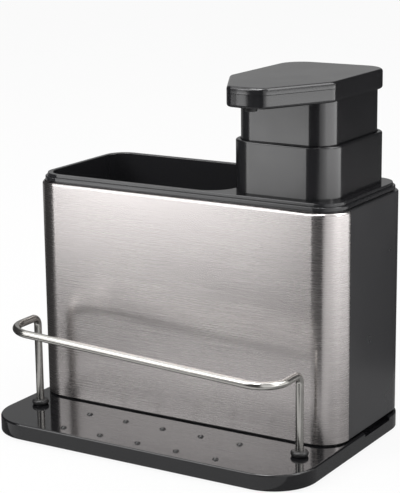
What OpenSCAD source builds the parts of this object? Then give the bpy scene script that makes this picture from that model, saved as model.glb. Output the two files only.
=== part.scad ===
// Sink caddy with a soap pump: a drip tray with a wire rail, a steel-fronted housing that
// lifts off it, a lift-out insert with a tool bin, and a soap tank with a square pump.
// Millimetres, +Z up. Origin: middle of the tray's footprint, on the surface it stands on.

/* [Housing] */
// Width of the housing
body_w = 170; // [155:1:200]
// Depth of the housing
body_d = 74.8; // [74:0.2:90]
// Height of the housing's shell
body_h = 109.7; // [98:0.1:135]
// Radius of the housing's upright corners
body_r = 13.5; // [12:0.5:17]
// Wall of the shell behind the steel
shell_wall = 2; // [1.6:0.1:2.2]
// Rounding of the shell's top edge
shell_edge_r = 0.7; // [0.4:0.1:1]
// Lead-in chamfer inside the shell's foot
shell_lead = 0.8; // [0.4:0.1:1.2]
// Thickness of the steel front
steel_t = 0.8; // [0.5:0.1:1]
// Radius of the steel's rolled top edge
steel_roll_r = 1.6; // [1.2:0.1:2]
// Shadow gap between tray and housing
body_gap = 0.8; // [0.5:0.1:1.5]
// Number of fold-in tabs at each end of the steel
tab_count = 3; // [2:1:4]
// Height of a fold-in tab
tab_h = 8; // [5:0.5:12]
// Reach of a fold-in tab into the shell
tab_reach = 1.4; // [0.8:0.1:1.5]

/* [Tray] */
// Clear depth of the front bay
bay_d = 44; // [38:0.5:60]
// How far the tray stands out at each side of the housing
tray_side_margin = 1.5; // [1:0.1:4]
// How far the tray stands out behind the housing
tray_back_margin = 1.2; // [1:0.1:4]
// Height of the tray's edge
tray_h = 7.8; // [7:0.1:12]
// Thickness of the tray's top skin
tray_skin = 2.2; // [1.8:0.1:2.6]
// Thickness of the tray's outer wall
tray_wall = 2.4; // [1.8:0.1:3]
// Radius of the tray's front corners
tray_front_r = 22; // [16:0.5:26]
// Radius of the tray's back corners
tray_back_r = 17.5; // [13:0.5:18]
// Rounding of the tray's top edge
tray_edge_r = 0.9; // [0.4:0.1:1.4]
// Height of the upstand that locates the housing
upstand_h = 4.2; // [3:0.1:5]
// Thickness of the upstand
upstand_t = 1.8; // [1.4:0.1:2.4]
// Play between upstand and shell
upstand_play = 0.4; // [0.3:0.05:0.6]
// Width of the flat that the shell's edge stands on
seat_w = 1.8; // [1.4:0.1:1.9]
// Thickness of the ribs under the tray
tray_rib_t = 1.4; // [1:0.1:2]
// Spacing of the ribs under the tray
tray_rib_pitch = 24; // [18:1:36]
// Diameter of a drain nub
nub_d = 3; // [2:0.1:4]
// Height of a drain nub
nub_h = 1; // [0.6:0.1:1.4]
// Spacing of the nubs in a row
nub_pitch = 21.3; // [16:0.1:24]
// Nubs in a row
nub_count = 5; // [3:1:5]
// Distance of the first row of nubs from the tray's front edge
nub_front = 7; // [6:0.1:12]
// Distance from the first row of nubs to the second
nub_row_pitch = 22; // [16:0.5:24]
// Length of the cut-out low on each side
notch_l = 27; // [18:1:36]
// Depth of the cut-out below the tray's top
notch_depth = 2; // [1:0.1:2.4]
// Distance of the cut-out from the housing's back
notch_back = 19.8; // [17:0.1:24]
// How far the cut-out reaches in from the tray's side
notch_reach = 4.4; // [3.4:0.1:5]
// Diameter of a rubber foot
foot_d = 12; // [8:0.5:14]
// How far the feet stand out below the tray
foot_proud = 1; // [0.5:0.1:2]
// Depth of the recess that holds a foot
foot_recess = 0.8; // [0.5:0.1:1.5]
// Distance of a foot's middle from the tray's sides
foot_inset = 18; // [15:0.5:24]

/* [Wire rail] */
// Diameter of the wire
wire_d = 3.8; // [2:0.1:4]
// Height of the rail's middle over the tray
rail_h = 42.2; // [30:0.2:60]
// How much higher the rail lies at its left end than at its right end
rail_rise = 6.3; // [0:0.1:10]
// Distance of each leg from the housing's side
rail_side_inset = 11.4; // [11:0.1:20]
// Distance of the legs from the housing's front
rail_leg_set = 13.9; // [8:0.1:18]
// Distance of the front run from the tray's front edge
rail_front_set = 4.4; // [2:0.1:8]
// Bend radius of the rail's front corners, to the middle of the wire
rail_corner_r = 13; // [8:0.5:20]
// Bend radius at the top of each leg, to the middle of the wire
rail_top_r = 4; // [3:0.1:6]
// Play of the wire in its grommet
grommet_play = 0.05; // [0.02:0.01:0.1]
// Diameter of the grommet's rim
grommet_d = 8.4; // [7.4:0.1:10]
// Height of the grommet's rim over the tray
grommet_h = 2.8; // [1.6:0.1:3]
// Diameter of the grommet's neck in the tray
grommet_neck_d = 5.8; // [5.4:0.1:6.6]

/* [Insert] */
// How far the rim lies inside the housing's outline
rim_inset = 1.5; // [1:0.1:2]
// Height of the rim over the shell
rim_h = 4; // [3.4:0.1:6]
// Height of the rim's lower step
rim_step_h = 2.5; // [2:0.1:3]
// Width of the rim's lower step
rim_step_w = 1.2; // [0.8:0.1:1.6]
// Height of the shadow groove under the rim
rim_shadow_h = 0.6; // [0.4:0.1:1]
// Depth of the shadow groove under the rim
rim_shadow_w = 0.7; // [0.4:0.1:1]
// Rounding of the rim's edges
rim_edge_r = 0.5; // [0.3:0.1:0.7]
// Thickness of the deck round the pump
deck_t = 2.2; // [1.6:0.1:3]
// Wall of the bin and of the tank's cell
cell_wall = 1.6; // [1.3:0.1:1.9]
// Floor of the bin and of the tank's cell
cell_floor = 2; // [1.4:0.1:3]
// Play between the insert and the shell
insert_play = 0.5; // [0.35:0.05:0.6]
// Height of the insert's floor over the tray's edge
insert_lift = 5.8; // [5.6:0.1:12]
// Radius of the bin's left corners
bin_left_r = 10; // [7:0.5:14]
// Radius of the bin's right corners
bin_right_r = 14; // [8:0.5:18]
// Rounding round the foot of the bin
bin_foot_r = 4; // [2:0.5:6]
// Length of a drain slot in the bin's floor
slot_l = 12; // [8:0.5:13]
// Width of a drain slot in the bin's floor
slot_w = 2.6; // [1.6:0.1:3]
// Drain slots along the bin
slot_cols = 5; // [3:1:5]
// Drain slots across the bin
slot_rows = 4; // [2:1:5]
// Diameter of the drain hole under the tank
cell_drain_d = 10; // [6:0.5:16]
// Thickness of the gussets beside the tank's cell
gusset_t = 1.4; // [1:0.1:2]
// Height of the gussets under the deck
gusset_h = 14; // [8:0.5:20]

/* [Tank] */
// Wall of the tank
tank_wall = 1.8; // [1.4:0.1:2.4]
// Play between the tank and its cell
tank_play = 0.5; // [0.35:0.05:0.8]
// Rounding of the tank's shoulder
tank_shoulder_r = 3; // [2:0.1:4]
// Rounding round the foot of the tank
tank_foot_r = 2; // [1:0.1:3]
// Gap between the tank's shoulder and the collar
tank_top_gap = 0.3; // [0.3:0.05:0.6]
// Outside diameter of the tank's neck
neck_d = 27.4; // [26.8:0.1:28]
// Wall of the tank's neck
neck_wall = 2.2; // [1.8:0.1:2.4]
// Height of the neck over the deck
neck_h = 10.6; // [9:0.1:12]

/* [Pump collar and sleeve] */
// Width of the collar
collar_w = 54.2; // [52:0.1:56]
// Distance of the collar from the housing's front and back
collar_set = 5.8; // [5.4:0.1:6.8]
// Height of the collar
collar_h = 24.8; // [22:0.1:30]
// Radius of the collar's upright corners
collar_r = 12.4; // [11:0.1:14]
// Wall of the collar
collar_wall = 2; // [1.6:0.1:2.4]
// Floor of the collar
collar_floor = 2; // [1.6:0.1:2.4]
// Rounding of the collar's top edge
collar_edge_r = 0.9; // [0.5:0.1:1.4]
// How far the collar covers the edge of the tank's opening
collar_cover = 1.2; // [0.8:0.1:1.6]
// Distance of the collar from the housing's right side
collar_side = 6.7; // [6.2:0.1:8]
// Play between sleeve and collar
sleeve_play = 0.4; // [0.3:0.05:0.6]
// Wall of the sleeve
sleeve_wall = 1.8; // [1.4:0.1:2.2]
// Length of sleeve inside the collar with the head up
sleeve_hidden = 7; // [4:0.5:7.4]
// Length of sleeve that shows between collar and head
sleeve_show = 20.4; // [19:0.1:26]
// Travel of the pump
pump_travel = 15; // [8:0.5:15]

/* [Pump head] */
// Height of the head
head_h = 9.4; // [9.2:0.1:13]
// Height of the head's lid
cap_h = 3.3; // [3.2:0.1:4]
// Distance from the stem to where the taper starts
head_taper_start = 28; // [24:0.5:32]
// Distance from the stem to the tip
head_reach = 62; // [50:0.5:75]
// Width of the tip
tip_w = 19.2; // [12:0.1:24]
// Radius of the tip's corners
tip_r = 5; // [3.4:0.1:5.6]
// How far the middle of the tip's front stands out
tip_bow = 1.4; // [1:0.1:1.6]
// Radius of the tip's bowed front
tip_bow_r = 28; // [20:1:32]
// Radius where the taper starts
taper_r = 6; // [4:0.5:10]
// Wall of the head and of its lid
head_wall = 1.8; // [1.4:0.1:2]
// Rounding of the head's top edge
head_edge_r = 0.8; // [0.4:0.1:1.2]
// Rounding of the head's bottom edge
head_foot_r = 1.4; // [0.6:0.1:1.8]
// Size of the groove between head and lid
seam_groove = 0.25; // [0.1:0.05:0.4]
// Play of the lid's locating rim
lid_play = 0.1; // [0.05:0.05:0.2]
// Outside diameter of the spout tube
spout_d = 5.6; // [4.6:0.1:5.6]
// Bore of the spout tube
spout_bore = 3.4; // [2.4:0.1:3.6]
// Outside diameter of the outlet
outlet_d = 6.4; // [6:0.1:8]
// How far the outlet shows below the head
outlet_show = 1.6; // [0.8:0.1:4]
// Distance of the outlet's middle from the tip
outlet_set = 5.6; // [5.4:0.1:9]
// Outside diameter of the boss that grips the stem
boss_d = 13; // [12:0.1:15]
// Depth of the boss below the head
boss_drop = 12.4; // [10:0.1:13]

/* [Pump inside] */
// Outside diameter of the stem
stem_d = 8; // [7:0.1:8.4]
// Bore of the stem
stem_bore = 4.8; // [3.6:0.1:5]
// Length of stem held in the boss
stem_grip = 10; // [8:0.5:11]
// Play of moving and sliding fits inside the pump
pump_play = 0.3; // [0.2:0.05:0.35]
// Outside diameter of the cylinder
cyl_d = 18; // [17.4:0.1:18.6]
// Wall of the cylinder
cyl_wall = 1.5; // [1.2:0.1:1.6]
// Length of the cylinder's wide part below its flange
cyl_l = 42; // [40:0.5:50]
// Thickness of the cylinder's flange
flange_t = 1.5; // [1.2:0.1:2]
// Thickness of the neck gasket
gasket_t = 0.8; // [0.5:0.1:1.2]
// Diameter of the valve balls
ball_d = 6; // [5.6:0.1:6]
// Lift of the valve balls
ball_lift = 1.2; // [0.8:0.1:1.4]
// Length of the piston
piston_l = 9.8; // [8:0.1:11]
// Length of the cap's plug in the cylinder
plug_l = 8; // [6:0.1:10]
// Thickness of the cap's flange
cap_flange_t = 1.7; // [1.2:0.1:2.4]
// Outside diameter of the dip tube
dip_d = 6; // [5:0.1:6.4]
// Wall of the dip tube
dip_wall = 1; // [0.8:0.1:1.2]
// Length of dip tube held in the cylinder
dip_grip = 7.5; // [6:0.1:9]
// Gap between the dip tube and the tank's floor
dip_gap = 2.5; // [1.5:0.1:6]
// Wire of the return spring
spring_wire = 1.2; // [0.9:0.1:1.3]
// Turns of the return spring
spring_turns = 6; // [4:1:6]
// Thickness of the closure nut's side
nut_wall = 2.4; // [2:0.1:3]
// Thickness of the closure nut's top
nut_top_t = 1.9; // [1.4:0.1:2.4]
// Grip ribs round the closure nut
nut_ribs = 30; // [18:2:36]
// Depth of the nut's grip ribs
nut_rib_t = 0.7; // [0.4:0.1:0.9]

/* [Hidden] */
$fn = 64;
// Cuts run this far past the faces that they cross
overrun = 1;
// Straight and round stretches share this much where they can't simply meet
lap = 0.02;
$slim = 0;
// A plate's core starts, and its rounded rim ends, this many edge radii in from the outline
plate_core_share = 1.6;
plate_rim_share = 2;
black_plastic = [0.10, 0.10, 0.105];
steel_grey = [0.78, 0.77, 0.76];
white_plastic = [0.92, 0.92, 0.90];

// Housing and tray outlines
body_wall = shell_wall + steel_t;
tray_w = body_w + 2 * tray_side_margin;
tray_d = body_d + bay_d + tray_back_margin;
body_cy = tray_d / 2 - tray_back_margin - body_d / 2;
body_front = body_cy - body_d / 2;
body_back = body_cy + body_d / 2;
seam_y = body_front + body_r;
tray_top = foot_proud + tray_h;
shell_z = tray_top + body_gap;
shell_top = shell_z + body_h;
deck_z = shell_top + rim_h;
tray_pts = box_pts(tray_w, tray_d);
tray_rad = [tray_front_r, tray_front_r, tray_back_r, tray_back_r];
body_pts = box_pts(body_w, body_d);
body_rad = even(body_pts, body_r);
upstand_in = body_wall + upstand_play;

// Rail
rail_x = body_w / 2 - rail_side_inset;
leg_y = body_front - rail_leg_set;
rail_front_y = rail_front_set - tray_d / 2;
rail_z = tray_top + rail_h;
rail_tilt = atan(rail_rise / (2 * rail_x));
socket_floor = tray_wall / 2;
leg_foot_z = foot_proud + socket_floor + wire_d / 10;
grommet_hole_r = wire_d / 2 + grommet_play;
grommet_round_r = grommet_h / 2;
socket_boss_r = grommet_neck_d / 2 + tray_wall;

// Pump axis, tank, cell and bin
pump_x = body_w / 2 - collar_side - collar_w / 2;
collar_d = body_d - 2 * collar_set;
collar_pts = box_pts(collar_w, collar_d);
collar_rad = even(collar_pts, collar_r);
cell_in = collar_cover;
tank_in = collar_cover + tank_play;
cell_pts = inset(collar_pts, cell_in);
cell_rad = less(collar_rad, cell_in);
tank_pts = inset(collar_pts, tank_in);
tank_rad = less(collar_rad, tank_in);
cell_z = tray_top + insert_lift;
tank_z = cell_z + cell_floor;
tank_top = deck_z - tank_top_gap;
cell_left = pump_x - collar_w / 2 + cell_in;
bin_left = body_wall + insert_play + cell_wall - body_w / 2;
bin_right = cell_left - 2 * cell_wall + cell_wall / 4;
bin_w = bin_right - bin_left;
bin_d = body_d - 2 * (body_wall + insert_play + cell_wall);
bin_x = (bin_left + bin_right) / 2;
bin_pts = box_pts(bin_w, bin_d);
bin_rad = [bin_left_r, bin_right_r, bin_right_r, bin_left_r];
rim_pts = inset(body_pts, rim_inset);
rim_rad = less(body_rad, rim_inset);
rim_solid = body_wall + insert_play - rim_inset + cell_wall / 2;
skirt_h = gusset_h / 2;

// Pump head and sleeve
collar_top = deck_z + collar_h;
sleeve_in = collar_wall + sleeve_play;
sleeve_pts = inset(collar_pts, sleeve_in);
sleeve_rad = less(collar_rad, sleeve_in);
sleeve_z = collar_top - sleeve_hidden;
head_z = collar_top + sleeve_show;
head_top = head_z + head_h;
lid_z = head_top - cap_h;
head_w = collar_w;
head_back = collar_d / 2 - seam_groove;
head_pts = [
    [-tip_w / 2, tip_bow - head_reach], [0, -head_reach], [tip_w / 2, tip_bow - head_reach],
    [head_w / 2, -head_taper_start], [head_w / 2, head_back], [-head_w / 2, head_back],
    [-head_w / 2, -head_taper_start]
];
head_rad = [tip_r, tip_bow_r, tip_r, taper_r, collar_r, collar_r, taper_r];
lid_under = head_top - head_wall;
spout_z = lid_under - pump_play / 3 - spout_d / 2;
outlet_y = outlet_set - head_reach;
outlet_z = head_z - outlet_show;
boss_top = lid_under - pump_play / 3;
boss_z = head_z - boss_drop;

// Neck, cylinder and stem
neck_top = deck_z + neck_h;
flange_z = neck_top + gasket_t;
flange_top = flange_z + flange_t;
neck_r = neck_d / 2;
cyl_bore = cyl_d - 2 * cyl_wall;
ledge_z = flange_z - cyl_l;
chamber_r = ball_d / 2 + 1.5 * pump_play;
cage_t = cyl_wall / 2;
cage_top = ledge_z + cage_t;
seat_r_share = 0.74;
seat_r = seat_r_share * ball_d / 2;
ball_sink = sqrt(pow(ball_d / 2, 2) - pow(seat_r, 2));
ball_rest = pump_play / 3;
chamber_h = ball_sink + ball_rest + ball_lift + ball_d / 2 + pump_play;
seat_z = ledge_z - cyl_wall / 2 - chamber_h;
socket_top = seat_z - cyl_wall;
socket_z = socket_top - dip_grip;
nozzle_wall = 1.6 * cyl_wall;
inlet_z = seat_z + ball_sink + ball_rest;
stem_top = boss_z + stem_grip;
outlet_seat_r = stem_bore / 2;
outlet_sink = sqrt(pow(ball_d / 2, 2) - pow(outlet_seat_r, 2));
outlet_ball_z = stem_top + outlet_sink + ball_rest;
plug_z = flange_top - plug_l;
piston_top = plug_z - pump_play;
piston_z = piston_top - piston_l;
nut_r = neck_r + pump_play + nut_wall;
nut_z = deck_z + collar_floor;
nut_top = flange_top + nut_top_t;
cap_flange_r = cyl_d / 2 + cyl_wall / 3;
spring_r = cyl_bore / 2 - pump_play - spring_wire;

// Vectors and outlines. An outline is a counter-clockwise list of corners with a radius each.
function unit(v) = v / norm(v);
function turn(u, w) = atan2(u[0] * w[1] - u[1] * w[0], u * w);
function way_in(pts, i) = unit(pts[i] - pts[(i + len(pts) - 1) % len(pts)]);
function way_out(pts, i) = unit(pts[(i + 1) % len(pts)] - pts[i]);
function out_of(way) = [way[1], -way[0]];
function cutback(pts, rad, i) = rad[i] * tan(turn(way_in(pts, i), way_out(pts, i)) / 2);
function arc_start(pts, rad, i) = pts[i] - way_in(pts, i) * cutback(pts, rad, i);
function arc_end(pts, rad, i) = pts[i] + way_out(pts, i) * cutback(pts, rad, i);
function arc_mid(pts, rad, i) = arc_start(pts, rad, i) - out_of(way_in(pts, i)) * rad[i];
function box_pts(w, d) = [[-w / 2, -d / 2], [w / 2, -d / 2], [w / 2, d / 2], [-w / 2, d / 2]];
function even(pts, r) = [for (p = pts) r];
function less(rad, by) = [for (r = rad) r - by];
function inset(pts, by) = [
    for (i = [0:len(pts) - 1])
        let (a = -out_of(way_in(pts, i)), b = -out_of(way_out(pts, i)))
        pts[i] + by * (a + b) / (1 + a * b)
];
function all(pts) = [0:len(pts) - 1];
// Next to a corner that isn't square, a straight stretch is a hair thinner and laps into the bend
function skew_lap(pts, i) = abs(way_in(pts, i) * way_out(pts, i)) > lap ? lap : 0;

// The outline as a flat shape: only its square corners are round, because it is hidden elsewhere
module rounded(pts, rad) {
    polygon([
        for (i = all(pts))
            each (skew_lap(pts, i) > 0 ? [pts[i]] : [arc_start(pts, rad, i), arc_end(pts, rad, i)])
    ]);
    for (i = all(pts)) {
        if (skew_lap(pts, i) == 0) {
            translate(arc_mid(pts, rad, i)) circle(r = rad[i]);
        }
    }
}

// The outline as a plain block
module block(pts, rad, h) {
    linear_extrude(h) rounded(pts, rad);
}

// A profile swept round the outline: its x axis points outwards from the outline
module swept(pts, rad, bends, runs) {
    for (i = bends) {
        translate(arc_mid(pts, rad, i))
            rotate(turn([1, 0], out_of(way_in(pts, i))))
            rotate_extrude(angle = turn(way_in(pts, i), way_out(pts, i)))
            translate([rad[i], 0])
            children();
    }
    for (i = runs) {
        j = (i + 1) % len(pts);
        from = arc_end(pts, rad, i);
        to = arc_start(pts, rad, j);
        end = to + skew_lap(pts, j) * unit(to - from);
        $slim = max(skew_lap(pts, i), skew_lap(pts, j)) / 2;
        translate([end[0], end[1], 0])
            rotate([90, 0, turn([1, 0], out_of(way_out(pts, i)))])
            linear_extrude(norm(to - from) + skew_lap(pts, i) + skew_lap(pts, j))
            children();
    }
}

// Section of a wall: outer face at x = 0, with a rounded top and foot
module wall_section(t, h, top_r, foot_r) {
    low = max(foot_r, $slim);
    translate([$slim - t, low]) square([t - 2 * $slim, h - max(top_r, $slim) - low]);
    if (top_r > 0) {
        translate([$slim - t, h - top_r]) square([t - top_r - $slim, top_r - $slim]);
        translate([-top_r, h - top_r]) circle(r = top_r - $slim);
    }
    if (foot_r > 0) {
        translate([$slim - t, $slim]) square([t - foot_r - $slim, foot_r]);
        translate([-foot_r, foot_r]) circle(r = foot_r - $slim);
    }
}

// A wall that follows the outline
module ring(pts, rad, t, h, top_r = 0, foot_r = 0) {
    swept(pts, rad, all(pts), all(pts)) wall_section(t, h, top_r, foot_r);
}

// A plate with rounded edges: a plain core inside a ring
module plate(pts, rad, h, top_r, foot_r) {
    core_in = plate_core_share * max(top_r, foot_r);
    block(inset(pts, core_in), less(rad, core_in), h);
    ring(pts, rad, plate_rim_share * max(top_r, foot_r), h, top_r, foot_r);
}

// A tube about the Z axis
module tube(outer_r, inner_r, h) {
    difference() {
        cylinder(r = outer_r, h = h);
        translate([0, 0, -overrun]) cylinder(r = inner_r, h = h + 2 * overrun);
    }
}

module at_body() {
    translate([0, body_cy, 0]) children();
}

module at_pump() {
    translate([pump_x, body_cy, 0]) children();
}

// Both rail sockets, and all four feet
module at_sockets() {
    for (side = [-1, 1]) {
        translate([side * rail_x, leg_y, 0]) children();
    }
}

module at_feet() {
    for (x = [-1, 1], y = [-1, 1]) {
        translate([x * (tray_w / 2 - foot_inset), y * (tray_d / 2 - foot_inset), 0]) children();
    }
}

module tray_ribs() {
    rib_h = tray_h - tray_skin / 2 - tray_edge_r;
    across = floor(tray_w / 2 / tray_rib_pitch);
    along = floor(tray_d / 2 / tray_rib_pitch);
    translate([0, 0, foot_proud + tray_edge_r])
        intersection() {
            block(inset(tray_pts, tray_wall / 2), less(tray_rad, tray_wall / 2), rib_h);
            union() {
                for (i = [-across:across]) {
                    translate([i * tray_rib_pitch - tray_rib_t / 2, -tray_d / 2, 0])
                        cube([tray_rib_t, tray_d, rib_h]);
                }
                for (i = [-along:along]) {
                    translate([-tray_w / 2, i * tray_rib_pitch - tray_rib_t / 2, 0])
                        cube([tray_w, tray_rib_t, rib_h]);
                }
            }
        }
}

// The upstand that the housing slips over, and the flat that its edge stands on
module upstand() {
    at_body() translate([0, 0, tray_top - tray_skin / 2]) {
        ring(inset(body_pts, upstand_in), less(body_rad, upstand_in), upstand_t,
            upstand_h + tray_skin / 2, upstand_t / 3);
        ring(inset(body_pts, upstand_in - seat_w), less(body_rad, upstand_in - seat_w),
            seat_w + upstand_t / 2, body_gap + tray_skin / 2);
    }
}

module notch(grow, top, depth) {
    for (side = [-1, 1]) {
        translate([side * (tray_w / 2 + overrun - (notch_reach + overrun + grow) / 2),
            body_back - notch_back - notch_l / 2, top - depth])
            translate([-(notch_reach + overrun + grow) / 2, -notch_l / 2 - grow, 0])
            cube([notch_reach + overrun + grow, notch_l + 2 * grow, depth]);
    }
}

module nubs() {
    sphere_r = (pow(nub_d / 2, 2) + pow(nub_h, 2)) / (2 * nub_h);
    for (row = [0, 1], i = [0:nub_count - 1]) {
        translate([(i - (nub_count - 1) / 2) * nub_pitch,
            nub_front - tray_d / 2 + row * nub_row_pitch, tray_top + nub_h - sphere_r])
            sphere(r = sphere_r);
    }
}

module drip_tray() {
    boss_h = tray_h - tray_skin / 2 - tray_edge_r / 2;
    color(black_plastic) difference() {
        union() {
            difference() {
                translate([0, 0, foot_proud])
                    plate(tray_pts, tray_rad, tray_h, tray_edge_r, tray_edge_r / 2);
                translate([0, 0, foot_proud - overrun])
                    block(inset(tray_pts, tray_wall), less(tray_rad, tray_wall),
                        tray_h - tray_skin + overrun);
            }
            tray_ribs();
            upstand();
            nubs();
            intersection() {
                notch(tray_wall / 2, tray_top - notch_depth + lap, tray_skin);
                block(inset(tray_pts, tray_wall / 2), less(tray_rad, tray_wall / 2), tray_top);
            }
            translate([0, 0, foot_proud + tray_edge_r / 2]) {
                at_sockets() cylinder(r = socket_boss_r, h = boss_h);
                at_feet() cylinder(r = foot_d / 2 + tray_wall / 2, h = boss_h);
            }
        }
        notch(0, shell_z + overrun, notch_depth + body_gap + overrun);
        at_sockets() translate([0, 0, foot_proud + socket_floor])
            cylinder(d = grommet_neck_d, h = tray_h + overrun);
        at_feet() translate([0, 0, foot_proud + tray_edge_r / 2 - overrun])
            cylinder(d = foot_d, h = foot_recess + overrun);
    }
}

module tray_feet() {
    color([0.16, 0.16, 0.16]) at_feet()
        cylinder(d = foot_d - lap, h = foot_proud + tray_edge_r / 2 + foot_recess);
}

module grommet_section() {
    neck_h = tray_h - socket_floor;
    translate([grommet_hole_r, -neck_h])
        square([grommet_neck_d / 2 - lap - grommet_hole_r, neck_h + grommet_h / 2]);
    translate([grommet_hole_r, 0])
        square([grommet_d / 2 - grommet_round_r - grommet_hole_r, grommet_h]);
    // The lip's round keeps clear of the hole that the wire stands in
    intersection() {
        translate([grommet_d / 2 - grommet_round_r, grommet_round_r]) circle(r = grommet_round_r);
        translate([grommet_hole_r, 0]) square([grommet_d / 2, grommet_h]);
    }
}

module rail_grommets() {
    color([0.07, 0.07, 0.075]) at_sockets() translate([0, 0, tray_top])
        rotate_extrude() grommet_section();
}

// A quarter bend of the wire that starts on +X and turns towards +Y
module wire_bend(r) {
    rotate_extrude(angle = 90) translate([r, 0]) circle(d = wire_d);
}

// Straight stretches are a hair thinner than the bends that they run into
module wire_run(l) {
    translate([0, 0, -lap]) cylinder(d = wire_d - lap, h = l + 2 * lap);
}

module wire_side(side) {
    top_z = rail_z - side * rail_rise / 2;
    translate([side * rail_x, leg_y, leg_foot_z])
        wire_run(top_z - rail_top_r - leg_foot_z);
    translate([side * rail_x, leg_y - rail_top_r, top_z - rail_top_r])
        rotate([90, 0, 90]) wire_bend(rail_top_r);
    translate([side * rail_x, leg_y - rail_top_r, top_z])
        rotate([90, 0, 0]) wire_run(leg_y - rail_top_r - rail_front_y - rail_corner_r);
}

module wire_rail() {
    corner_x = rail_x / cos(rail_tilt) - rail_corner_r;
    corner_y = rail_front_y + rail_corner_r;
    color(steel_grey) {
        wire_side(-1);
        wire_side(1);
        translate([0, 0, rail_z]) rotate([0, rail_tilt, 0]) {
            translate([corner_x, corner_y, 0]) rotate(-90) wire_bend(rail_corner_r);
            translate([-corner_x, corner_y, 0]) rotate(180) wire_bend(rail_corner_r);
            translate([-corner_x, rail_front_y, 0]) rotate([0, 90, 0]) wire_run(2 * corner_x);
        }
    }
}

// Places of the fold-in tabs, on both ends of the steel
module at_tabs() {
    for (side = [0, 1], i = [0:tab_count - 1]) {
        z = shell_z + body_h * (i + 0.5) / tab_count - tab_h / 2;
        mirror([side, 0, 0]) translate([body_w / 2 - steel_t, seam_y, z]) children();
    }
}

module housing_shell() {
    color(black_plastic) difference() {
        at_body() translate([0, 0, shell_z])
            ring(body_pts, body_rad, body_wall, body_h, shell_edge_r, shell_edge_r / 2);
        at_body() translate([0, 0, shell_z]) {
            swept(body_pts, body_rad, [0, 1], [0]) {
                translate([-steel_t, -overrun]) square([steel_t + overrun, body_h + 2 * overrun]);
            }
            swept(body_pts, body_rad, [0, 1], [0]) {
                translate([-body_wall - overrun, body_h - steel_t])
                    square([body_wall + 2 * overrun, steel_t + overrun]);
            }
            swept(inset(body_pts, body_wall), less(body_rad, body_wall), all(body_pts), all(body_pts))
                polygon([[-lap, -lap], [shell_lead, -lap], [-lap, shell_lead]]);
        }
        at_tabs() translate([-tab_reach - lap, -steel_t - lap, -lap])
            cube([tab_reach + steel_t, steel_t + 2 * lap, tab_h + 2 * lap]);
    }
}

module steel_panel() {
    color(steel_grey) {
        at_body() translate([0, 0, shell_z]) swept(body_pts, body_rad, [0, 1], [0])
            difference() {
                wall_section(body_wall, body_h, steel_roll_r, 0);
                translate([-body_wall - overrun, -overrun])
                    square([shell_wall + overrun, body_h - steel_t + overrun]);
            }
        at_tabs() translate([-tab_reach, -steel_t, 0])
            cube([tab_reach + steel_t / 2, steel_t, tab_h]);
    }
}

// Stepped rim of the insert, with the shadow groove under it
module rim_section() {
    translate([0, rim_shadow_h])
        wall_section(rim_solid, rim_step_h - rim_shadow_h, rim_edge_r, rim_edge_r / 2);
    translate([-rim_shadow_w, 0])
        wall_section(rim_solid - rim_shadow_w, rim_shadow_h + rim_step_h / 2, 0, 0);
    translate([-rim_step_w, 0])
        wall_section(rim_solid - rim_step_w, rim_h, rim_edge_r, 0);
}

module floor_slot() {
    square([slot_l - slot_w, slot_w], center = true);
    for (end = [-1, 1]) {
        translate([end * (slot_l - slot_w) / 2, 0]) circle(d = slot_w);
    }
}

module bin_slots() {
    pitch_x = (bin_w - 2 * bin_foot_r) / slot_cols;
    pitch_y = (bin_d - 2 * bin_foot_r) / slot_rows;
    for (i = [0:slot_cols - 1], j = [0:slot_rows - 1]) {
        translate([(i - (slot_cols - 1) / 2) * pitch_x, (j - (slot_rows - 1) / 2) * pitch_y, 0])
            translate([0, 0, -overrun]) linear_extrude(cell_floor + 2 * overrun) floor_slot();
    }
}

module gussets() {
    cell_side = pump_x + collar_w / 2 - cell_in + cell_wall / 2;
    gusset_l = body_w / 2 - body_wall - insert_play - cell_side;
    for (i = [-1, 0, 1]) {
        translate([cell_side, body_cy + i * collar_d / 4 - gusset_t / 2, deck_z - deck_t / 2 - gusset_h])
            cube([gusset_l, gusset_t, gusset_h]);
    }
}

module bin_foot_section() {
    difference() {
        translate([-bin_foot_r, 0]) square([bin_foot_r + cell_wall / 2, bin_foot_r]);
        translate([-bin_foot_r, bin_foot_r]) circle(r = bin_foot_r);
    }
}

module bin_lip_section() {
    difference() {
        translate([-overrun, -rim_edge_r]) square([rim_edge_r + overrun, rim_edge_r + overrun]);
        translate([rim_edge_r, -rim_edge_r]) circle(r = rim_edge_r);
    }
}

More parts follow.
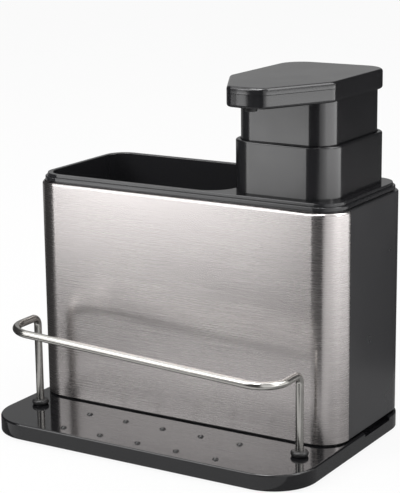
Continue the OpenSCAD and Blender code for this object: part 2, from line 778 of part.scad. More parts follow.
// One moulding: rim, deck, tool bin and the cell that the tank stands in
module caddy_insert() {
    cell_h = deck_z - deck_t / 2 - cell_z;
    skirt_in = body_wall + insert_play;
    color(black_plastic) {
        difference() {
            union() {
                at_body() translate([0, 0, shell_top]) {
                    swept(rim_pts, rim_rad, all(rim_pts), all(rim_pts)) rim_section();
                    translate([0, 0, rim_h - deck_t])
                        block(inset(rim_pts, rim_solid / 2), less(rim_rad, rim_solid / 2), deck_t);
                }
                at_body() translate([0, 0, shell_top - skirt_h])
                    ring(inset(body_pts, skirt_in), less(body_rad, skirt_in), cell_wall,
                        skirt_h + rim_shadow_h);
                translate([bin_x, body_cy, cell_z])
                    block(inset(bin_pts, -cell_wall), less(bin_rad, -cell_wall), cell_h);
                at_pump() translate([0, 0, cell_z])
                    block(inset(cell_pts, -cell_wall), less(cell_rad, -cell_wall), cell_h);
                gussets();
            }
            translate([bin_x, body_cy, cell_z]) {
                translate([0, 0, cell_floor]) block(bin_pts, bin_rad, deck_z);
                bin_slots();
            }
            translate([bin_x, body_cy, deck_z])
                swept(bin_pts, bin_rad, all(bin_pts), all(bin_pts)) bin_lip_section();
            at_pump() translate([0, 0, tank_z]) block(cell_pts, cell_rad, deck_z);
            at_pump() translate([0, 0, cell_z - overrun])
                cylinder(d = cell_drain_d, h = cell_floor + 2 * overrun);
        }
        translate([bin_x, body_cy, tank_z - lap])
            swept(bin_pts, bin_rad, all(bin_pts), all(bin_pts)) bin_foot_section();
    }
}

module soap_tank() {
    tank_h = tank_top - tank_z;
    color([0.20, 0.20, 0.21]) at_pump() {
        difference() {
            union() {
                translate([0, 0, tank_z])
                    plate(tank_pts, tank_rad, tank_h, tank_shoulder_r, tank_foot_r);
                translate([0, 0, tank_top - tank_wall / 2])
                    cylinder(d = neck_d, h = neck_top - tank_top + tank_wall / 2);
            }
            translate([0, 0, tank_z + tank_wall])
                block(inset(tank_pts, tank_wall), less(tank_rad, tank_wall), tank_h - 2 * tank_wall);
            translate([0, 0, tank_top - 2 * tank_wall])
                cylinder(d = neck_d - 2 * neck_wall, h = neck_top - tank_top + 3 * tank_wall);
        }
    }
}

module pump_collar() {
    color(black_plastic) at_pump() translate([0, 0, deck_z]) difference() {
        union() {
            ring(collar_pts, collar_rad, collar_wall, collar_h, collar_edge_r);
            block(inset(collar_pts, collar_wall / 2), less(collar_rad, collar_wall / 2), collar_floor);
        }
        translate([0, 0, -overrun])
            cylinder(r = neck_r + pump_play, h = collar_floor + 2 * overrun);
    }
}

module closure_nut() {
    color(black_plastic) at_pump() translate([0, 0, nut_z]) difference() {
        union() {
            cylinder(r = nut_r, h = nut_top - nut_z);
            for (i = [0:nut_ribs - 1]) {
                rotate(i * 360 / nut_ribs) translate([nut_r - nut_wall / 2, -nut_rib_t / 2, 0])
                    cube([nut_wall / 2 + nut_rib_t, nut_rib_t, nut_top - nut_z - nut_top_t]);
            }
        }
        translate([0, 0, -overrun])
            cylinder(r = neck_r + pump_play, h = flange_top - nut_z + overrun);
        cylinder(r = cap_flange_r + pump_play, h = nut_top - nut_z + overrun);
    }
}

module neck_gasket() {
    color([0.75, 0.75, 0.73]) at_pump() translate([0, 0, neck_top])
        tube(neck_r - pump_play, neck_r - neck_wall, gasket_t);
}

module cylinder_section() {
    nozzle_r = dip_d / 2 + nozzle_wall;
    difference() {
        union() {
            translate([0, flange_z]) square([neck_r - pump_play, flange_t]);
            translate([0, ledge_z - cyl_wall]) square([cyl_d / 2, cyl_l + cyl_wall + flange_t / 2]);
            translate([0, socket_z]) square([nozzle_r, ledge_z - socket_z]);
            translate([0, ledge_z - cyl_wall])
                polygon([[0, nozzle_r - cyl_d / 2], [nozzle_r, nozzle_r - cyl_d / 2], [cyl_d / 2, 0],
                    [cyl_d / 2, cyl_wall], [0, cyl_wall]]);
        }
        translate([-overrun, cage_top]) square([cyl_bore / 2 + overrun, cyl_l + flange_t + overrun]);
        translate([-overrun, seat_z])
            square([chamber_r + overrun, chamber_h]);
        translate([-overrun, seat_z]) square([seat_r + overrun, cage_top]);
        translate([-overrun, socket_top - overrun]) square([seat_r + overrun, cyl_wall + 2 * overrun]);
        translate([-overrun, socket_z - overrun]) square([dip_d / 2 + lap + overrun, dip_grip + overrun]);
    }
}

module pump_cylinder() {
    color(white_plastic) at_pump() rotate_extrude() cylinder_section();
}

module cylinder_cap() {
    color(white_plastic) at_pump() difference() {
        union() {
            translate([0, 0, flange_top]) cylinder(r = cap_flange_r, h = cap_flange_t);
            translate([0, 0, plug_z]) cylinder(r = cyl_bore / 2 - lap, h = plug_l + lap);
        }
        translate([0, 0, plug_z - overrun])
            cylinder(r = stem_d / 2 + pump_play, h = plug_l + cap_flange_t + 2 * overrun);
    }
}

module dip_tube() {
    dip_z = tank_z + tank_wall + dip_gap;
    color([0.88, 0.88, 0.88]) at_pump() translate([0, 0, dip_z])
        tube(dip_d / 2, dip_d / 2 - dip_wall, socket_top - dip_z);
}

module inlet_ball() {
    color(steel_grey) at_pump() translate([0, 0, inlet_z]) sphere(d = ball_d);
}

module outlet_ball() {
    color(steel_grey) at_pump() translate([0, 0, outlet_ball_z]) sphere(d = ball_d);
}

// The spring is one unbroken tube: a ring of points is carried along the helix
spring_sides = 6;
spring_steps = 16;
spring_foot = cage_top + spring_wire / 2;
spring_rise = piston_z - cage_top - spring_wire;
spring_last = spring_turns * spring_steps;
function coil_point(k) = [
    spring_r * cos(360 * k / spring_steps),
    spring_r * sin(360 * k / spring_steps),
    spring_foot + spring_rise * k / spring_last
];
function coil_ring(k) = [
    for (j = [0:spring_sides - 1])
        let (a = 360 * k / spring_steps, b = 360 * j / spring_sides, r = spring_wire / 2 * cos(b))
        coil_point(k) + [r * cos(a), r * sin(a), spring_wire / 2 * sin(b)]
];

module return_spring() {
    points = [for (k = [0:spring_last]) each coil_ring(k)];
    sides = [
        for (k = [0:spring_last - 1], j = [0:spring_sides - 1])
            let (a = k * spring_sides + j, b = k * spring_sides + (j + 1) % spring_sides)
            each [[a, a + spring_sides, b], [b, a + spring_sides, b + spring_sides]]
    ];
    foot_end = [for (j = [1:spring_sides - 2]) [0, j, j + 1]];
    top = spring_last * spring_sides;
    top_end = [for (j = [1:spring_sides - 2]) [top, top + j + 1, top + j]];
    color(steel_grey) at_pump() polyhedron(points, concat(sides, foot_end, top_end));
}

module plunger_sleeve() {
    color(black_plastic) at_pump() translate([0, 0, sleeve_z])
        ring(sleeve_pts, sleeve_rad, sleeve_wall, head_z - sleeve_z, 0, sleeve_wall / 3);
}

module head_body() {
    under_h = lid_z - head_z;
    color(black_plastic) at_pump() difference() {
        union() {
            translate([0, 0, head_z]) difference() {
                plate(head_pts, head_rad, under_h, 0, head_foot_r);
                translate([0, 0, head_wall])
                    block(inset(head_pts, head_wall), less(head_rad, head_wall), under_h);
            }
            translate([0, 0, boss_z]) cylinder(d = boss_d, h = boss_top - boss_z);
        }
        translate([0, 0, boss_z - overrun]) cylinder(d = stem_d + 2 * lap, h = stem_grip + overrun);
        translate([0, 0, stem_top - lap]) cylinder(r = chamber_r, h = spout_z + spout_bore / 2 - stem_top);
        translate([0, 0, spout_z]) rotate([90, 0, 0]) cylinder(d = spout_d + 2 * lap, h = boss_d);
        translate([0, outlet_y, head_z - overrun])
            cylinder(d = outlet_d + 2 * lap, h = head_wall + 2 * overrun);
    }
}

module head_cap() {
    locate_in = head_wall + lid_play;
    pocket_in = locate_in + head_wall / 4;
    color(black_plastic) at_pump() {
        translate([0, 0, lid_z]) difference() {
            plate(head_pts, head_rad, cap_h, head_edge_r, seam_groove);
            translate([0, 0, -overrun])
                block(inset(head_pts, pocket_in), less(head_rad, pocket_in), cap_h - head_wall + overrun);
        }
        translate([0, 0, lid_z - head_wall / 2])
            ring(inset(head_pts, locate_in), less(head_rad, locate_in), head_wall / 2, cap_h);
    }
}

module spout_tube() {
    start_y = -(boss_d / 2 + chamber_r) / 2;
    run = start_y - outlet_y;
    color(black_plastic) at_pump() difference() {
        union() {
            translate([0, start_y, spout_z]) rotate([90, 0, 0]) cylinder(d = spout_d, h = run);
            translate([0, outlet_y, spout_z]) sphere(d = spout_d);
            translate([0, outlet_y, outlet_z]) cylinder(d = spout_d, h = spout_z - outlet_z);
            translate([0, outlet_y, outlet_z]) cylinder(d = outlet_d, h = outlet_show + head_wall);
        }
        translate([0, start_y + overrun, spout_z])
            rotate([90, 0, 0]) cylinder(d = spout_bore, h = run + overrun);
        translate([0, outlet_y, spout_z]) sphere(d = spout_bore);
        translate([0, outlet_y, outlet_z - overrun])
            cylinder(d = spout_bore, h = spout_z - outlet_z + overrun);
    }
}

module pump_stem() {
    stem_z = piston_z + cyl_wall;
    color(white_plastic) at_pump() translate([0, 0, stem_z])
        tube(stem_d / 2, stem_bore / 2, stem_top - stem_z);
}

// A sealing lip flares at each end of the piston
module piston_section() {
    core_r = cyl_bore / 2 - pump_play - cyl_wall / 2;
    lip_r = cyl_bore / 2 - pump_play;
    lip_h = cyl_wall;
    translate([stem_d / 2 + lap, piston_z]) square([core_r - stem_d / 2 - lap, piston_l]);
    for (end = [0, 1]) {
        translate([stem_d / 2 + lap, piston_z + end * (piston_l - lip_h)])
            square([lip_r - stem_d / 2 - lap, lip_h]);
    }
}

module piston() {
    color([0.55, 0.70, 0.85]) at_pump() rotate_extrude() piston_section();
}

drip_tray();
tray_feet();
rail_grommets();
wire_rail();
housing_shell();
steel_panel();
caddy_insert();
soap_tank();
pump_collar();
closure_nut();
neck_gasket();
pump_cylinder();
cylinder_cap();
dip_tube();
inlet_ball();
return_spring();
plunger_sleeve();
head_body();
head_cap();
spout_tube();
pump_stem();
piston();
outlet_ball();
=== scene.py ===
import math
import bmesh
import bpy
from mathutils import Matrix, Vector


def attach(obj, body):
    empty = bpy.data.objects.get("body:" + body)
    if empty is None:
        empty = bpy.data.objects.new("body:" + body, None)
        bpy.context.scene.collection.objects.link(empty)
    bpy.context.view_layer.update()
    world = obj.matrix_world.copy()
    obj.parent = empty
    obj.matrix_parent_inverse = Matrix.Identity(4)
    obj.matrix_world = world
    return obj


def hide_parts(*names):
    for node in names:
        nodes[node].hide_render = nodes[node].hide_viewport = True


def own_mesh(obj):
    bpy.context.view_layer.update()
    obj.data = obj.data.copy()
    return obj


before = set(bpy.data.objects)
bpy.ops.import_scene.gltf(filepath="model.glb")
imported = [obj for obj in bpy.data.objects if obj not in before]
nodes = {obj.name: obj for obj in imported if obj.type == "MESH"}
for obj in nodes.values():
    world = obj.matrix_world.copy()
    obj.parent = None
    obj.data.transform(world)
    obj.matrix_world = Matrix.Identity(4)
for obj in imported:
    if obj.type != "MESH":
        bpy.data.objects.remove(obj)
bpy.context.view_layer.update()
mm = 0.001
print("frame loaded:", len(nodes), "CAD nodes")


def linearColour(hexColour):
    # The standard curve from a screen colour to amounts of light
    parts = [int(hexColour[i:i + 2], 16) / 255 for i in (1, 3, 5)]
    return [c / 12.92 if c <= 0.04045 else ((c + 0.055) / 1.055) ** 2.4 for c in parts] + [1.0]


def addNode(tree, kind, settings=None, links=None):
    node = tree.nodes.new(kind)
    for key, value in (settings or {}).items():
        if isinstance(key, str) and hasattr(node, key):
            setattr(node, key, value)
        else:
            node.inputs[key].default_value = value
    for key, source in (links or {}).items():
        tree.links.new(source, node.inputs[key])
    return node


def newMaterial(name):
    material = bpy.data.materials.new(name)
    material.use_nodes = True
    material.node_tree.nodes.clear()
    return material, material.node_tree


def finishMaterial(material, settings, tint, gloss, skin, **more):
    tree = material.node_tree
    shader = addNode(tree, "ShaderNodeBsdfPrincipled", settings,
                     {"Base Color": tint, "Roughness": gloss, "Normal": skin, **more})
    addNode(tree, "ShaderNodeOutputMaterial", links={"Surface": shader.outputs[0]})
    return material


# The noise behind each pattern, and the depth that its relief stands for
patterns = {
    "swell": {"detail": 2.0, "roughness": 0.5, "depth": 0.3 * mm},
    "grain": {"detail": 3.0, "roughness": 0.5, "depth": 0.05 * mm},
    "line": {"detail": 4.0, "roughness": 0.6, "depth": 0.02 * mm},
    "cloud": {"detail": 2.0, "roughness": 0.5},
    "dent": {"detail": 3.0, "roughness": 0.5, "depth": 0.03 * mm},
    "pore": {"detail": 5.0, "roughness": 0.5, "depth": 0.05 * mm},
}


def noise(tree, kind, scale, place):
    pattern = patterns[kind]
    return addNode(tree, "ShaderNodeTexNoise",
                   {"Scale": scale, "Detail": pattern["detail"], "Roughness": pattern["roughness"]},
                   {"Vector": place}).outputs["Fac"]


def evenPattern(tree, look, kind):
    place = addNode(tree, "ShaderNodeTexCoord")
    return noise(tree, kind, 1 / (look[kind + "Mm"] * mm), place.outputs["Object"])


def stretchedPattern(tree, look, kind):
    sheet = addNode(tree, "ShaderNodeUVMap", {"uv_map": "UVMap"})
    length, width = look[kind + "LengthMm"] * mm, look[kind + "WidthMm"] * mm
    place = addNode(tree, "ShaderNodeMapping", {"Scale": (1 / length, 1 / width, 1.0)},
                    {"Vector": sheet.outputs["UV"]})
    return noise(tree, kind, 1.0, place.outputs["Vector"])


def blend(tree, look, pattern):
    # The two tones of a material, mixed by a pattern. The node's colours go by number
    dark, light = linearColour(look["darkColour"]), linearColour(look["colour"])
    return addNode(tree, "ShaderNodeMix", {"data_type": "RGBA", 6: dark, 7: light}, {0: pattern}).outputs[2]


def glossRange(tree, look, pattern, low=0.3, high=0.7):
    # Low to high is what the pattern mostly spans
    return addNode(tree, "ShaderNodeMapRange",
                   {"From Min": low, "From Max": high, "To Min": look["roughness"] - look["glossPlay"],
                    "To Max": look["roughness"] + look["glossPlay"]}, {0: pattern}).outputs["Result"]


def relief(tree, look, kind, pattern, **under):
    return addNode(tree, "ShaderNodeBump",
                   {"Strength": look[kind + "Bump"], "Distance": patterns[kind]["depth"]},
                   {"Height": pattern, **under}).outputs["Normal"]


def mouldedPlastic(name, look):
    # Injection moulded: a skin that copies the mould, with a slow swell from the cooling
    # and a fine grain that breaks up the gloss a little
    material, tree = newMaterial(name)
    swell, grain = evenPattern(tree, look, "swell"), evenPattern(tree, look, "grain")
    skin = relief(tree, look, "swell", swell, Normal=relief(tree, look, "grain", grain))
    return finishMaterial(material, {"IOR": look["ior"]}, blend(tree, look, grain),
                          glossRange(tree, look, swell), skin)


def brushedSteel(name, look):
    # Stainless sheet brushed along its length: lines under 0.1 mm wide on the real one,
    # drawn several times as wide so that they show at this size
    material, tree = newMaterial(name)
    lines, cloud = stretchedPattern(tree, look, "line"), stretchedPattern(tree, look, "cloud")
    both = addNode(tree, "ShaderNodeMath", {"operation": "MULTIPLY_ADD", 1: look["cloudShare"]},
                   {0: cloud, 2: lines})
    grainWay = addNode(tree, "ShaderNodeTangent", {"direction_type": "UV_MAP", "uv_map": "UVMap"})
    settings = {"Metallic": 1.0, "Anisotropic": look["anisotropic"],
                "Anisotropic Rotation": look["anisotropicTurn"]}
    return finishMaterial(material, settings, blend(tree, look, lines),
                          glossRange(tree, look, both.outputs[0], low=0.4, high=1.0),
                          relief(tree, look, "line", lines), Tangent=grainWay.outputs["Tangent"])


def drawnWire(name, look):
    # Stainless wire, drawn and tumbled bright: faint soft dents, no grain to see
    material, tree = newMaterial(name)
    dents = evenPattern(tree, look, "dent")
    return finishMaterial(material, {"Metallic": 1.0}, blend(tree, look, dents),
                          glossRange(tree, look, dents), relief(tree, look, "dent", dents))


def mouldedRubber(name, look):
    # Compression moulded rubber: dull, with a fine bloom of lighter dust in its pores
    material, tree = newMaterial(name)
    pores = evenPattern(tree, look, "pore")
    return finishMaterial(material, {"IOR": look["ior"]}, blend(tree, look, pores),
                          glossRange(tree, look, pores, low=0.0, high=1.0),
                          relief(tree, look, "pore", pores))


materials = {
    # ABS, moulded in a polished mould: deep and wet looking
    "glossBlackAbs": mouldedPlastic("gloss black ABS, polished mould", {
        "colour": "#1B1B1D", "darkColour": "#141416", "roughness": 0.08, "glossPlay": 0.02,
        "swellMm": 22, "grainMm": 0.9, "swellBump": 0.03, "grainBump": 0.004, "ior": 1.54}),
    # ABS, moulded against a lightly blasted steel: the housing's sides look greyer and duller
    "satinBlackAbs": mouldedPlastic("satin black ABS, blasted mould", {
        "colour": "#353537", "darkColour": "#2C2C2E", "roughness": 0.3, "glossPlay": 0.03,
        "swellMm": 30, "grainMm": 0.7, "swellBump": 0.04, "grainBump": 0.03, "ior": 1.54}),
    # The pump's outer parts: same plastic with a harder skin
    "pumpBlackAbs": mouldedPlastic("black ABS of the pump", {
        "colour": "#212123", "darkColour": "#19191B", "roughness": 0.18, "glossPlay": 0.02,
        "swellMm": 26, "grainMm": 0.8, "swellBump": 0.03, "grainBump": 0.004, "ior": 1.6}),
    # The insert: the same plastic, its colour made greyer as painted light, standing in for more light on
    # the deck and in the bin
    "insertPaintedLightAbs": mouldedPlastic("black ABS of the insert, lightened as painted light", {
        "colour": "#2C2C2E", "darkColour": "#242426", "roughness": 0.13, "glossPlay": 0.02,
        "swellMm": 24, "grainMm": 0.9, "swellBump": 0.03, "grainBump": 0.004, "ior": 1.54}),
    # The outlet: dull, and darker than the pump's plastic as painted shade from the head above it, so that
    # it reads as a plain dark opening
    "dullPaintedShadeAbs": mouldedPlastic("dull black ABS, darkened as painted shade", {
        "colour": "#141416", "darkColour": "#101011", "roughness": 0.5, "glossPlay": 0.04,
        "swellMm": 12, "grainMm": 0.6, "swellBump": 0.03, "grainBump": 0.02, "ior": 1.45}),
    "smokePolypropylene": mouldedPlastic("smoke grey polypropylene, blow moulded", {
        "colour": "#46474B", "darkColour": "#3A3B3F", "roughness": 0.42, "glossPlay": 0.05,
        "swellMm": 16, "grainMm": 1.1, "swellBump": 0.12, "grainBump": 0.1, "ior": 1.49}),
    "naturalPolypropylene": mouldedPlastic("undyed polypropylene", {
        "colour": "#DEDDD6", "darkColour": "#CFCEC6", "roughness": 0.38, "glossPlay": 0.04,
        "swellMm": 12, "grainMm": 0.8, "swellBump": 0.06, "grainBump": 0.06, "ior": 1.49}),
    "blueSealPolyethylene": mouldedPlastic("blue soft polyethylene", {
        "colour": "#7FA6C9", "darkColour": "#6F96BA", "roughness": 0.45, "glossPlay": 0.04,
        "swellMm": 10, "grainMm": 0.6, "swellBump": 0.05, "grainBump": 0.08, "ior": 1.51}),
    "brushedStainless": brushedSteel("brushed stainless sheet", {
        "colour": "#CDC8C7", "darkColour": "#BAB5B4", "roughness": 0.26, "glossPlay": 0.05,
        "anisotropic": 0.75, "anisotropicTurn": 0.25, "lineLengthMm": 60, "lineWidthMm": 0.3,
        "lineBump": 0.03, "cloudLengthMm": 60, "cloudWidthMm": 20, "cloudShare": 0.4}),
    "polishedWire": drawnWire("polished stainless wire", {
        "colour": "#C4C2BE", "darkColour": "#B4B2AE", "roughness": 0.2, "glossPlay": 0.03,
        "dentMm": 4.0, "dentBump": 0.05}),
    "springSteel": drawnWire("bright spring wire", {
        "colour": "#B8B8B8", "darkColour": "#A4A4A4", "roughness": 0.25, "glossPlay": 0.04,
        "dentMm": 1.0, "dentBump": 0.2}),
    "ballSteel": drawnWire("polished stainless ball", {
        "colour": "#D0D0CE", "darkColour": "#C6C6C4", "roughness": 0.08, "glossPlay": 0.02,
        "dentMm": 2.0, "dentBump": 0.03}),
    "blackNitrile": mouldedRubber("black nitrile rubber", {
        "colour": "#232324", "darkColour": "#171718", "roughness": 0.42, "glossPlay": 0.06,
        "poreMm": 0.5, "poreBump": 0.3, "ior": 1.52}),
    "greySilicone": mouldedRubber("dark grey silicone", {
        "colour": "#58585A", "darkColour": "#48484A", "roughness": 0.7, "glossPlay": 0.06,
        "poreMm": 0.6, "poreBump": 0.3, "ior": 1.52}),
    "sealRubber": mouldedRubber("grey sealing rubber", {
        "colour": "#B4B3AF", "darkColour": "#9C9B97", "roughness": 0.6, "glossPlay": 0.06,
        "poreMm": 0.5, "poreBump": 0.3, "ior": 1.52}),
}

nodeFinishes = {
    "drip_tray": "glossBlackAbs", "tray_feet": "greySilicone", "rail_grommets": "blackNitrile",
    "wire_rail": "polishedWire", "housing_shell": "satinBlackAbs", "steel_panel": "brushedStainless",
    "caddy_insert": "insertPaintedLightAbs", "soap_tank": "smokePolypropylene", "pump_collar": "pumpBlackAbs",
    "closure_nut": "glossBlackAbs", "neck_gasket": "sealRubber", "pump_cylinder": "naturalPolypropylene",
    "cylinder_cap": "naturalPolypropylene", "dip_tube": "naturalPolypropylene", "inlet_ball": "ballSteel",
    "return_spring": "springSteel", "plunger_sleeve": "pumpBlackAbs", "head_body": "pumpBlackAbs",
    "head_cap": "pumpBlackAbs", "spout_tube": "dullPaintedShadeAbs", "pump_stem": "naturalPolypropylene",
    "piston": "blueSealPolyethylene", "outlet_ball": "ballSteel",
}
for nodeName, finishName in nodeFinishes.items():
    slots = nodes[nodeName].data.materials
    if len(slots) == 0:
        slots.append(materials[finishName])
    for i in range(len(slots)):
        slots[i] = materials[finishName]
print("finishes on the CAD nodes:", len(nodeFinishes))


def begin(addPrimitive, name, **how):
    bpy.ops.object.select_all(action="DESELECT")
    addPrimitive(**how)
    piece = bpy.context.object
    piece.name = piece.data.name = name
    bpy.ops.object.transform_apply(location=True, rotation=True, scale=True)
    return piece


def pick(piece, kind, wanted):
    bpy.ops.mesh.select_mode(type=kind)
    bpy.ops.mesh.select_all(action="DESELECT")
    mesh = bmesh.from_edit_mesh(piece.data)
    mesh.normal_update()
    for item in mesh.edges if kind == "EDGE" else mesh.faces:
        item.select_set(bool(wanted(item)))
    mesh.select_flush_mode()
    bmesh.update_edit_mesh(piece.data)


def centre(face):
    points = [v.co for v in face.verts]
    return sum(points, Vector()) / len(points)


def useModifier(piece, kind, **settings):
    modifier = piece.modifiers.new(kind.title(), kind)
    for key, value in settings.items():
        setattr(modifier, key, value)
    bpy.context.view_layer.objects.active = piece
    bpy.ops.object.modifier_apply(modifier=modifier.name)


def smoothBy(piece, degrees):
    bpy.ops.object.select_all(action="DESELECT")
    piece.select_set(True)
    bpy.context.view_layer.objects.active = piece
    bpy.ops.object.shade_smooth_by_angle(angle=math.radians(degrees))


def weightNormals(piece):
    # The large faces decide, so that a flat area beside a rounding looks flat
    useModifier(piece, "WEIGHTED_NORMAL", keep_sharp=True, weight=100)


def near(a, b, play=0.02 * mm):
    return abs(a - b) < play


# How far a face or an edge points one way, as a cosine
exactly, mostly, partly, hardly = 0.9999, 0.9, 0.5, 0.1


def weld(distance):
    # Points closer than this become one
    bpy.ops.mesh.select_all(action="SELECT")
    bpy.ops.mesh.remove_doubles(threshold=distance)


def roundSelected(size, steps):
    bpy.ops.mesh.bevel(offset=size, offset_type="OFFSET", segments=steps, profile=0.5)


def turnFacesOut():
    bpy.ops.mesh.select_all(action="SELECT")
    bpy.ops.mesh.normals_make_consistent(inside=False)


steelFront = {
    "width": 170 * mm, "frontY": -16.0 * mm, "seamY": -2.5 * mm, "cornerR": 13.5 * mm,
    "bottomZ": 9.6 * mm, "topZ": 119.3 * mm, "sheet": 0.8 * mm, "rollR": 1.6 * mm, "hem": 2.8 * mm,
    "cornerSteps": 20, "rollSteps": 6, "edgeR": 0.12 * mm, "edgeSteps": 2, "edgeFrom": 40, "smoothTo": 32,
    "weldBefore": 0.01 * mm, "weldAfter": 0.002 * mm, "arcPlay": 0.1 * mm, "shortEdge": 0.96 * mm,
    "blankDepth": 20 * mm,
}


def makeSteelFront(s):
    half = s["width"] / 2
    backY = s["seamY"] + s["blankDepth"]
    piece = begin(bpy.ops.mesh.primitive_cube_add, "steel_front", size=1,
                  location=(0, (s["frontY"] + backY) / 2, (s["bottomZ"] + s["topZ"]) / 2),
                  scale=(s["width"], backY - s["frontY"], s["topZ"] - s["bottomZ"]))
    bpy.ops.object.mode_set(mode="EDIT")
    # Round the two upright front edges, then keep the front and its two corners only
    pick(piece, "EDGE", lambda e: all(near(v.co.y, s["frontY"]) for v in e.verts)
         and near(e.verts[0].co.x, e.verts[1].co.x))
    roundSelected(s["cornerR"], s["cornerSteps"])
    pick(piece, "FACE",
         lambda f: abs(f.normal.z) > mostly or f.normal.y > mostly or abs(f.normal.x) > exactly)
    bpy.ops.mesh.delete(type="FACE")
    bpy.ops.object.mode_set(mode="OBJECT")
    useModifier(piece, "SOLIDIFY", thickness=s["sheet"], offset=-1, use_even_offset=True)
    bpy.ops.object.mode_set(mode="EDIT")

    flat = half - s["cornerR"]

    def insideFace(f):
        c = centre(f)
        away = Vector((max(-flat, min(flat, c.x)), s["seamY"], c.z)) - c
        return abs(f.normal.z) < hardly and f.normal.dot(away) > partly * away.length

    # A line round the inside only, for the hem to grow from
    pick(piece, "FACE", insideFace)
    bpy.ops.mesh.bisect(plane_co=(0, 0, s["topZ"] - s["sheet"]), plane_no=(0, 0, 1))
    pick(piece, "FACE", lambda f: insideFace(f) and centre(f).z > s["topZ"] - s["sheet"])
    bpy.ops.mesh.extrude_region_shrink_fatten(
        TRANSFORM_OT_shrink_fatten={"value": s["hem"] - s["sheet"], "use_even_offset": True})

    # Roll the outer top edge. A short edge is part of it only where the top meets the outside
    def outerEdge(e):
        for v in e.verts:
            r = math.hypot(max(abs(v.co.x) - flat, 0), min(v.co.y - s["seamY"], 0))
            if not near(v.co.z, s["topZ"]) or not near(r, s["cornerR"], s["arcPlay"]):
                return False
        if e.calc_length() > s["shortEdge"]:
            return True
        return len(e.link_faces) == 2 and abs(e.link_faces[0].normal.z - e.link_faces[1].normal.z) > partly

    pick(piece, "EDGE", outerEdge)
    roundSelected(s["rollR"], s["rollSteps"])
    weld(s["weldBefore"])
    bpy.ops.object.mode_set(mode="OBJECT")
    useModifier(piece, "BEVEL", width=s["edgeR"], segments=s["edgeSteps"], limit_method="ANGLE",
                angle_limit=math.radians(s["edgeFrom"]))
    bpy.ops.object.mode_set(mode="EDIT")
    weld(s["weldAfter"])
    bpy.ops.object.mode_set(mode="OBJECT")
    # U runs along the sheet's width round both corners, V runs up, both in metres
    layer = piece.data.uv_layers.get("UVMap") or piece.data.uv_layers.new(name="UVMap")
    for loop in piece.data.loops:
        p = piece.data.vertices[loop.vertex_index].co
        over = max(abs(p.x) - flat, 0)
        angle = math.atan2(over, max(s["seamY"] - p.y, 1e-6)) if over > 0 else 0
        along = min(abs(p.x), flat) + s["cornerR"] * angle
        layer.data[loop.index].uv = (math.copysign(along, p.x), p.z)
    smoothBy(piece, s["smoothTo"])
    weightNormals(piece)
    piece.data.materials.clear()
    piece.data.materials.append(materials["brushedStainless"])
    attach(piece, "housing")
    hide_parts("steel_panel")
    return piece


steelPiece = makeSteelFront(steelFront)
print("steel front:", len(steelPiece.data.polygons), "faces")

wireRail = {
    "wireR": 1.9 * mm, "legX": 73.6 * mm, "legY": -29.9 * mm, "footZ": 2.58 * mm, "frontY": -55.6 * mm,
    "rightZ": 47.85 * mm, "leftZ": 54.15 * mm, "topR": 4.0 * mm, "cornerR": 13.0 * mm,
    "round": 28, "topSteps": 14, "cornerSteps": 20, "weld": 0.005 * mm, "smoothTo": 40,
}


def makeWireRail(s):
    # One round end, pulled along each leg and arm and bent round each corner, from right to left
    piece = begin(bpy.ops.mesh.primitive_circle_add, "rail_wire", vertices=s["round"], radius=s["wireR"],
                  fill_type="NGON", location=(s["legX"], s["legY"], s["footZ"]))
    bpy.ops.object.mode_set(mode="EDIT")
    bpy.ops.mesh.select_all(action="SELECT")
    tilt = math.atan2(s["leftZ"] - s["rightZ"], 2 * s["legX"])
    acrossWay = Vector((-math.cos(tilt), 0, math.sin(tilt)))
    upWay = Vector((math.sin(tilt), 0, math.cos(tilt)))

    def pull(way, length):
        bpy.ops.mesh.extrude_region_move(TRANSFORM_OT_translate={"value": way.normalized() * length})

    def bend(middle, axis, steps):  # spin turns against the right hand, so the angle is negative
        bpy.ops.mesh.spin(steps=steps, angle=math.radians(-90), center=middle, axis=axis)

    frontWay, backWay = Vector((0, -1, 0)), Vector((0, 1, 0))
    arm = s["legY"] - s["frontY"] - s["topR"] - s["cornerR"]
    pull(Vector((0, 0, 1)), s["rightZ"] - s["topR"] - s["footZ"])
    at = Vector((s["legX"], s["legY"] - s["topR"], s["rightZ"] - s["topR"]))
    bend(at, (1, 0, 0), s["topSteps"])
    pull(frontWay, arm)
    at = Vector((s["legX"], s["frontY"] + s["cornerR"], s["rightZ"])) + acrossWay * s["cornerR"]
    bend(at, upWay * -1, s["cornerSteps"])
    pull(acrossWay, 2 * s["legX"] / math.cos(tilt) - 2 * s["cornerR"])
    at = Vector((-s["legX"], s["frontY"] + s["cornerR"], s["leftZ"])) - acrossWay * s["cornerR"]
    bend(at, upWay * -1, s["cornerSteps"])
    pull(backWay, arm)
    at = Vector((-s["legX"], s["legY"] - s["topR"], s["leftZ"] - s["topR"]))
    bend(at, (-1, 0, 0), s["topSteps"])
    pull(Vector((0, 0, -1)), s["leftZ"] - s["topR"] - s["footZ"])
    weld(s["weld"])
    turnFacesOut()
    bpy.ops.object.mode_set(mode="OBJECT")
    smoothBy(piece, s["smoothTo"])
    piece.data.materials.append(materials["polishedWire"])
    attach(piece, "rail")
    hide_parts("wire_rail")
    return piece


wirePiece = makeWireRail(wireRail)
print("rail wire:", len(wirePiece.data.polygons), "faces")

headLid = {
    "stemX": 51.2 * mm, "stemY": 21.4 * mm, "lowZ": 174.6 * mm, "topZ": 177.9 * mm,
    "width": 54.2 * mm, "back": 31.35 * mm, "taperFrom": -28.0 * mm, "tipHalf": 9.6 * mm,
    "tipSide": -60.6 * mm, "tipFront": -62.0 * mm,
    "cornerR": 12.4 * mm, "taperR": 6.0 * mm, "tipR": 5.0 * mm, "bowR": 28.0 * mm,
    "edgeR": 1.5 * mm, "seam": 0.25 * mm, "rimIn": 1.9 * mm, "rimWall": 1.3 * mm, "rimDrop": 0.9 * mm,
    "pocketUp": 1.5 * mm, "blankSpare": 0.5 * mm, "wallLow": 1.2 * mm, "smoothTo": 30,
}


